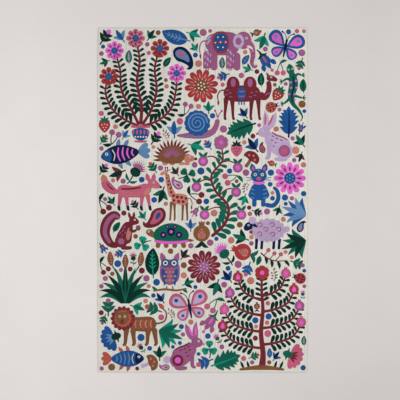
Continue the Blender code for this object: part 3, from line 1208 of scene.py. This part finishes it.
def new_object(name, mesh, materials):
    """Puts a finished bmesh in the scene as an object at the origin."""
    data = bpy.data.meshes.new(name)
    mesh.to_mesh(data)
    mesh.free()
    piece = bpy.data.objects.new(name, data)
    for material in materials:
        data.materials.append(material)
    bpy.context.scene.collection.objects.link(piece)
    return piece


def work_yarn(yarn, sizes, colour):
    """All the patches of one colour of yarn, as one piece."""
    whole = new_patch()
    carried = bpy.data.meshes.new("patch")
    for number, part in enumerate(draw_design()):
        if part.yarn != yarn:
            continue
        tone = math.sin(12.9898 * number + 4.1) * sizes.tone_spread
        make = disc_patch if isinstance(part, Disc) else band_patch
        patch = make(part, sizes, tone)
        patch.to_mesh(carried)
        patch.free()
        whole.from_mesh(carried)
        carried.clear_geometry()
    bpy.data.meshes.remove(carried)
    return new_object("yarn_" + yarn, whole, [wool("wool " + yarn, colour, sizes)])


# The ground and its hem

def hem_lines(pitch):
    """How far in from the edge each line of the hem lies, and how high it is."""
    lines = [(0.0, EDGE_HEIGHT), (HEM_SHOULDER, SHOULDER_HEIGHT), (0.5 * pitch, GROUND_CREST)]
    for row in range(1, HEM_ROWS):
        lines.append((row * pitch, GROUND_VALLEY))
        lines.append(((row + 0.5) * pitch, GROUND_CREST))
    lines.append((HEM_ROWS * pitch, GROOVE_HEIGHT))
    return lines


def side_lines(half, hem, count):
    """Where the lines across one direction of the cloth lie, from edge to edge."""
    inner = half - hem[-1][0]
    before = [-half + inward for inward, height in hem]
    field = [inner * (2 * place / count - 1) for place in range(1, count)]
    return before + field + [-place for place in reversed(before)]


def height_over(inward, lines):
    """The height at a way in from the edge, between the hem's lines."""
    for (near, low), (far, high) in zip(lines, lines[1:]):
        if inward <= far:
            return low + (high - low) * (inward - near) / (far - near)
    return lines[-1][1]


def ground_cloth(sizes):
    """The ivory ground: rows of stitches lengthwise inside a hem, closed below by the canvas."""
    pitch = sizes.row_pitch
    hem = hem_lines(pitch)
    hem_width = hem[-1][0]
    rows = round((WIDTH - 2 * hem_width) / pitch)
    x_lines = side_lines(WIDTH / 2, hem, 2 * rows)
    y_lines = side_lines(LENGTH / 2, hem, round((LENGTH - 2 * hem_width) / GROUND_STEP))
    steps, lines = len(x_lines) - 1, len(y_lines) - 1
    cloth = new_patch()
    bmesh.ops.create_grid(cloth, x_segments=steps, y_segments=lines, size=0.5)
    stitch = cloth.loops.layers.uv["Stitch"]
    bake = cloth.loops.layers.uv["OFBake"]
    tones = cloth.faces.layers.float["Tone"]
    for vert in cloth.verts:
        place, line = grid_place(vert, steps, lines)
        vert.co = (x_lines[place], y_lines[line], place)
    for face in cloth.faces:
        middle = face.calc_center_median()
        aside, ahead = WIDTH / 2 - abs(middle.x), LENGTH / 2 - abs(middle.y)
        inward = min(aside, ahead)
        face[tones] = 0.0
        face.smooth = True
        for loop in face.loops:
            x, y, place = loop.vert.co
            loop[bake].uv = (x / LENGTH + WIDTH / LENGTH / 2, y / LENGTH + 0.5)
            if inward > hem_width:
                loop[stitch].uv = (y, (place - len(hem)) / 2)
            elif aside < ahead:
                loop[stitch].uv = (y, (WIDTH / 2 - abs(x)) / pitch)
            else:
                loop[stitch].uv = (x, (LENGTH / 2 - abs(y)) / pitch)
    for vert in cloth.verts:
        x, y, place = vert.co
        inward = min(WIDTH / 2 - abs(x), LENGTH / 2 - abs(y))
        if inward <= hem_width + MERGE_GAP:
            height = height_over(inward, hem)
        else:
            height = GROUND_CREST if (round(place) - len(hem)) % 2 == 0 else GROUND_VALLEY
            fade = min(1.0, (inward - hem_width) / WAVER_FADE)
            x += fade * GROUND_WAVER * math.sin(9 * y + 5 * x) * math.cos(4 * y - 3 * x)
        vert.co = lie(x, y, height)
    close_canvas(cloth)
    return cloth


def close_canvas(cloth):
    """Turns the ground's rim under and closes it with a flat face of bare canvas."""
    bake = cloth.loops.layers.uv["OFBake"]
    rim = [edge for edge in cloth.edges if edge.is_boundary]
    turned = bmesh.ops.extrude_edge_only(cloth, edges=rim)["geom"]
    for vert in turned:
        if isinstance(vert, bmesh.types.BMVert):
            vert.co.x *= 1 - CANVAS_INSET / (WIDTH / 2)
            vert.co.y *= 1 - CANVAS_INSET / (LENGTH / 2)
            vert.co.z = 0.0
    below = [edge for edge in turned if isinstance(edge, bmesh.types.BMEdge) and edge.is_boundary]
    canvas = bmesh.ops.contextual_create(cloth, geom=below)["faces"]
    share = WIDTH / LENGTH
    for face in canvas:
        face.material_index = 1
        face.smooth = False
        for loop in face.loops:
            x, y, z = loop.vert.co
            right = share + (1 - share) * (x / WIDTH + 0.5)
            loop[bake].uv = (right, (1 - share) / share * (y / LENGTH + 0.5))
    bmesh.ops.recalc_face_normals(cloth, faces=cloth.faces)


# Materials

# The wool's painted shade in the gaps between strands and rows, how much lighter its strands are painted on
# their crowns, and how far rows, clouds and fuzz vary it
GAP_PAINTED_SHADE = 0.62
STRAND_PAINTED_LIGHT = 0.56
ROW_SPREAD = 0.16
CLOUD_SPREAD = 0.22
FUZZ_SPREAD = 0.24
CLOUD_SCALE = 9.0
FUZZ_SCALE = 1300.0
FUZZ_RELIEF = 0.35
WOOL_SHEEN = {"Specular IOR Level": 0.04, "Sheen Weight": 0.02, "Sheen Roughness": 0.6}
WOOL_ROUGHNESS = {"To Min": 0.82, "To Max": 0.98}

# A chain stitch: how far its strands lean back, how full they are, and how they fall away at the sides
STRAND_LEAN = 0.55
LINK_FULLNESS = 0.6
FLANK_FALL = 4.0
MIDDLE_GAP = {"From Min": 0.0, "From Max": 0.25, "To Min": 0.62}

# The canvas, and the floor with its noises from fine to broad: scale, detail and how far each lightens it
COTTON = (0.58, 0.52, 0.42)
# Painted shade between the canvas's threads: how much lighter the thread crowns are than the gaps
WEAVE_PAINTED_SHADE = 0.25
MOTTLE_SHADE = 0.2
CANVAS_SHADE = 0.68
FLOOR_SHADE = 0.88
FLOOR_NOISES = ((38.0, 4.0, 0.03), (3.4, 5.0, 0.06), (0.55, 2.0, 0.10))
# Painted light and shade across the floor: its shade is multiplied from 1.14 at x = -1.2 m to 0.88 at x = 1.2
# m
FLOOR_PAINTED_LIGHT = {"From Min": -1.2, "From Max": 1.2, "To Min": 1.14, "To Max": 0.88}


def feed(tree, socket, value):
    """Joins another node's output to a socket, or sets the socket's own value."""
    if isinstance(value, bpy.types.NodeSocket):
        tree.links.new(value, socket)
    else:
        socket.default_value = value


def node(tree, kind, inputs=None, **settings):
    """Adds a node, sets it up and feeds its inputs."""
    made = tree.nodes.new(kind)
    for name, value in settings.items():
        setattr(made, name, value)
    for key, value in (inputs or {}).items():
        feed(tree, made.inputs[key], value)
    return made


def sum_of(tree, operation, *values):
    """One step of arithmetic between sockets or numbers."""
    return node(tree, "ShaderNodeMath", dict(enumerate(values)), operation=operation).outputs[0]


def varied(tree, shade, value, spread):
    """A shade made lighter and darker by a value from 0 to 1."""
    return sum_of(tree, "ADD", shade, sum_of(tree, "MULTIPLY_ADD", value, spread, -spread / 2))


def noise(tree, place, scale, detail=2.0):
    """A soft noise from 0 to 1 on a place in metres."""
    made = node(tree, "ShaderNodeTexNoise", {"Vector": place, "Scale": scale, "Detail": detail})
    return made.outputs["Fac"]


def new_material(name):
    """A fresh material, its node tree and its place in metres."""
    material = bpy.data.materials.new(name)
    material.use_nodes = True
    tree = material.node_tree
    return material, tree, node(tree, "ShaderNodeTexCoord").outputs["Object"]


def finish_material(tree, colour, shade, roughness, relief, strength, distance, others=None):
    """Feeds the main shader with a shaded colour, a roughness, a relief and any other values."""
    tint = node(tree, "ShaderNodeVectorMath", {0: tuple(colour[:3]), "Scale": shade}, operation="SCALE")
    bump = node(tree, "ShaderNodeBump", {"Height": relief, "Strength": strength, "Distance": distance})
    fed = {"Base Color": tint.outputs[0], "Roughness": roughness, "Normal": bump.outputs[0], **(others or {})}
    for name, value in fed.items():
        feed(tree, tree.nodes["Principled BSDF"].inputs[name], value)


def chain_stitch(tree, sizes):
    """The height of a chain stitch's two strands, from 0 in the gaps to 1, which sets both its relief and its
    painted shade, and its row's own chance.
    """
    across = node(tree, "ShaderNodeUVMap", uv_map="Stitch").outputs[0]
    along, rows = node(tree, "ShaderNodeSeparateXYZ", {0: across}).outputs[:2]
    side = sum_of(tree, "ABSOLUTE", sum_of(tree, "MULTIPLY_ADD", sum_of(tree, "FRACT", rows), 2.0, -1.0))
    row = sum_of(tree, "FLOOR", rows)
    chance = node(tree, "ShaderNodeTexWhiteNoise", {"W": row}, noise_dimensions="1D").outputs["Value"]
    way = sum_of(tree, "ADD", sum_of(tree, "DIVIDE", along, sizes.stitch_length), chance)
    way = sum_of(tree, "MULTIPLY_ADD", side, STRAND_LEAN, way)
    link = sum_of(tree, "SINE", sum_of(tree, "MULTIPLY", sum_of(tree, "FRACT", way), math.pi))
    link = sum_of(tree, "POWER", link, LINK_FULLNESS)
    flank = sum_of(tree, "SUBTRACT", 1.0, sum_of(tree, "POWER", side, FLANK_FALL))
    gap = node(tree, "ShaderNodeMapRange", {"Value": side, **MIDDLE_GAP}, interpolation_type="SMOOTHSTEP")
    return sum_of(tree, "MULTIPLY", sum_of(tree, "MULTIPLY", link, flank), gap.outputs[0]), chance


def wool(name, colour, sizes):
    """Wool yarn in chain stitch, with painted shade in the gaps between strands and rows, a little lighter
    and darker from row to row and patch to patch.
    """
    material, tree, place = new_material(name)
    height, chance = chain_stitch(tree, sizes)
    tone = node(tree, "ShaderNodeAttribute", attribute_name="Tone").outputs["Fac"]
    fuzz = noise(tree, place, FUZZ_SCALE, 3.0)
    # Painted shade: the wool is darkest where the stitch's height is 0, in the gaps between strands and rows,
    # and lightest on the strands' crowns
    shade = sum_of(tree, "ADD", sum_of(tree, "MULTIPLY_ADD", height, STRAND_PAINTED_LIGHT, GAP_PAINTED_SHADE), tone)
    shade = varied(tree, shade, chance, ROW_SPREAD)
    shade = varied(tree, shade, noise(tree, place, CLOUD_SCALE), CLOUD_SPREAD)
    shade = varied(tree, shade, fuzz, FUZZ_SPREAD)
    relief = sum_of(tree, "MULTIPLY_ADD", fuzz, FUZZ_RELIEF, height)
    rough = node(tree, "ShaderNodeMapRange", {"Value": fuzz, **WOOL_ROUGHNESS}).outputs[0]
    finish_material(tree, colour, shade, rough, relief, 0.9, sizes.stitch_relief, WOOL_SHEEN)
    return material


def canvas(sizes):
    """The bare cotton canvas under the rug: a plain weave, with painted shade in the gaps between its
    threads.
    """
    material, tree, place = new_material("cotton canvas")
    threads = []
    for way in node(tree, "ShaderNodeSeparateXYZ", {0: place}).outputs[:2]:
        wave = sum_of(tree, "SINE", sum_of(tree, "MULTIPLY", way, math.pi / sizes.canvas_pitch))
        threads.append(sum_of(tree, "ABSOLUTE", wave))
    weave = sum_of(tree, "MULTIPLY", *threads)
    mottle = sum_of(tree, "MULTIPLY_ADD", noise(tree, place, 40.0, 3.0), MOTTLE_SHADE, CANVAS_SHADE)
    # Painted shade: the weave darkens the canvas between its threads and lightens the thread crowns
    shade = sum_of(tree, "MULTIPLY_ADD", weave, WEAVE_PAINTED_SHADE, mottle)
    finish_material(tree, COTTON, shade, 0.93, weave, 0.6, 0.0004)
    return material


def plaster(colour):
    """A pale floor with a faint trowelled unevenness, and painted light that makes it a little lighter on one
    side and darker on the other.
    """
    material, tree, place = new_material("pale floor")
    shade = FLOOR_SHADE
    marks = []
    for scale, detail, lighter in FLOOR_NOISES:
        marks.append(noise(tree, place, scale, detail))
        shade = sum_of(tree, "MULTIPLY_ADD", marks[-1], lighter, shade)
    # Painted light: the floor is made lighter on the -x side and darker on the +x side
    aside = node(tree, "ShaderNodeSeparateXYZ", {0: place}).outputs[0]
    lean = node(tree, "ShaderNodeMapRange", {"Value": aside, **FLOOR_PAINTED_LIGHT}).outputs[0]
    shade = sum_of(tree, "MULTIPLY", shade, lean)
    fine, patchy = marks[:2]
    finish_material(tree, colour, shade, 0.85, sum_of(tree, "MULTIPLY_ADD", patchy, 2.0, fine), 0.25, 0.002)
    return material


# Sizes and colours that a user would change

class RugSizes(bpy.types.PropertyGroup):
    """Sizes of the stitches and the rows."""

    row_pitch: bpy.props.FloatProperty(
        name="Row pitch", description="From one row of stitches to the next", default=0.0046,
        min=0.003, max=0.012, precision=4, unit="LENGTH")
    stitch_length: bpy.props.FloatProperty(
        name="Stitch length", description="Length of one chain stitch", default=0.0058,
        min=0.003, max=0.02, precision=4, unit="LENGTH")
    stitch_relief: bpy.props.FloatProperty(
        name="Stitch relief", description="Height of a stitch's strands", default=0.0009,
        min=0.0, max=0.004, precision=4, unit="LENGTH")
    layer_step: bpy.props.FloatProperty(
        name="Layer step", description="How much higher a patch lies on another", default=0.00043,
        min=0.0001, max=0.001, precision=5, unit="LENGTH")
    canvas_pitch: bpy.props.FloatProperty(
        name="Canvas pitch", description="From one thread of the canvas to the next", default=0.0016,
        min=0.0005, max=0.005, precision=4, unit="LENGTH")
    tone_spread: bpy.props.FloatProperty(
        name="Tone spread", description="How much patches of one yarn differ in lightness", default=0.07,
        min=0.0, max=0.3, subtype="FACTOR")


class RugColours(bpy.types.PropertyGroup):
    """Colours of the wool and the floor."""

    ivory: bpy.props.FloatVectorProperty(
        name="Ivory ground", description="Colour of the ground's wool", subtype="COLOR",
        default=(0.666, 0.644, 0.582), min=0.0, max=1.0)
    floor: bpy.props.FloatVectorProperty(
        name="Floor", description="Colour of the floor under the rug", subtype="COLOR",
        default=(0.612, 0.578, 0.560), min=0.0, max=1.0)


def add_yarn_colours():
    """Gives the colours one property for each yarn."""
    for yarn, colour in YARN_COLOURS.items():
        RugColours.__annotations__[yarn] = bpy.props.FloatVectorProperty(
            name=yarn.capitalize(), description=f"Colour of the {yarn} wool", subtype="COLOR",
            default=colour, min=0.0, max=1.0)


add_yarn_colours()


# Operators

class RUG_OT_ground(bpy.types.Operator):
    """Work the ivory ground and its hem"""

    bl_idname = "rug.ground"
    bl_label = "Ivory ground"

    def execute(self, context):
        scene = context.scene
        ivory = wool("wool ivory", scene.rug_colours.ivory, scene.rug_sizes)
        piece = new_object("ground", ground_cloth(scene.rug_sizes), [ivory, canvas(scene.rug_sizes)])
        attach(piece, "root")
        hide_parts("rug")
        return {"FINISHED"}


class RUG_OT_yarn(bpy.types.Operator):
    """Work all the patches of one colour of yarn"""

    bl_idname = "rug.yarn"
    bl_label = "Yarn"

    yarn: bpy.props.EnumProperty(
        name="Yarn", description="Which colour of yarn to work",
        items=[(yarn, yarn.capitalize(), f"The {yarn} wool") for yarn in YARN_COLOURS])

    def execute(self, context):
        scene = context.scene
        piece = work_yarn(self.yarn, scene.rug_sizes, getattr(scene.rug_colours, self.yarn))
        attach(piece, "root")
        return {"FINISHED"}


class RUG_OT_cloth(bpy.types.Operator):
    bl_idname = "rug.cloth"
    bl_label = "Lay the cloth"

    def execute(self, context):
        return {"FINISHED"}


# The stage, in metres and watts; the camera looks straight down, as the photo does
FLOOR_SPAN = 50.0
FLOOR_CELLS = 16
CAMERA_LENS = 85.0
CAMERA_SENSOR = 36.0
FRAME_SPAN = 2.826
CAMERA_ASIDE = -0.0177
LIGHTS = (
    # name, place, size, power
    ("key light", (2.7, 0.2, 3.5), 2.6, 102.0),
    ("fill light", (-2.6, -0.5, 3.6), 3.0, 68.0),
)
WORLD_LIGHT = 0.55


def aim(thing, target):
    """Turns a light, which shines down its -Z axis, to face a point."""
    thing.rotation_euler = (Vector(target) - thing.location).to_track_quat("-Z", "Y").to_euler()


def light_room(scene):
    """Two large soft lamps in a pale room."""
    for name, place, size, power in LIGHTS:
        lamp = bpy.data.lights.new(name, "AREA")
        lamp.shape = "DISK"
        lamp.size = size
        lamp.energy = power
        light = bpy.data.objects.new(name, lamp)
        light.location = place
        aim(light, (0, 0, 0))
        scene.collection.objects.link(light)
    world = bpy.data.worlds.new("soft room")
    world.use_nodes = True
    background = world.node_tree.nodes["Background"]
    background.inputs["Color"].default_value = (1.0, 1.0, 1.0, 1.0)
    background.inputs["Strength"].default_value = WORLD_LIGHT
    scene.world = world
    scene.view_settings.view_transform = "Standard"


def set_camera(scene):
    """A camera straight over the rug, as far up as its frame needs."""
    lens = bpy.data.cameras.new("camera")
    lens.lens = CAMERA_LENS
    lens.sensor_width = CAMERA_SENSOR
    camera = bpy.data.objects.new("camera", lens)
    camera.location = (CAMERA_ASIDE, 0.0, THICK + FRAME_SPAN * CAMERA_LENS / CAMERA_SENSOR)
    scene.collection.objects.link(camera)
    scene.camera = camera


class RUG_OT_stage(bpy.types.Operator):
    """Make the floor, the lights and the camera"""

    bl_idname = "rug.stage"
    bl_label = "Stage"

    def execute(self, context):
        scene = context.scene
        surface = bmesh.new()
        bmesh.ops.create_grid(surface, x_segments=FLOOR_CELLS, y_segments=FLOOR_CELLS, size=FLOOR_SPAN / 2)
        floor = new_object("floor", surface, [plaster(scene.rug_colours.floor)])
        light_room(scene)
        set_camera(scene)
        return {"FINISHED"}


class RUG_PT_panel(bpy.types.Panel):
    """The rug's steps, in the 3D view's sidebar"""

    bl_idname = "RUG_PT_panel"
    bl_label = "Crewel Rug"
    bl_space_type = "VIEW_3D"
    bl_region_type = "UI"
    bl_category = "Crewel Rug"

    def draw(self, context):
        layout = self.layout
        layout.operator("rug.ground")
        for yarn in YARN_COLOURS:
            layout.operator("rug.yarn", text=yarn.capitalize()).yarn = yarn
        layout.operator("rug.cloth")
        layout.operator("rug.stage")


CLASSES = (RugSizes, RugColours, RUG_OT_ground, RUG_OT_yarn, RUG_OT_cloth, RUG_OT_stage, RUG_PT_panel)


def register():
    for kind in CLASSES:
        bpy.utils.register_class(kind)
    bpy.types.Scene.rug_sizes = bpy.props.PointerProperty(type=RugSizes)
    bpy.types.Scene.rug_colours = bpy.props.PointerProperty(type=RugColours)


def unregister():
    del bpy.types.Scene.rug_colours
    del bpy.types.Scene.rug_sizes
    for kind in reversed(CLASSES):
        bpy.utils.unregister_class(kind)


def main():
    """Registers the add-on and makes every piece."""
    register()
    bpy.ops.rug.ground()
    for yarn in YARN_COLOURS:
        bpy.ops.rug.yarn(yarn=yarn)
    bpy.ops.rug.cloth()
    bpy.ops.rug.stage()


if __name__ == "__main__":
    main()
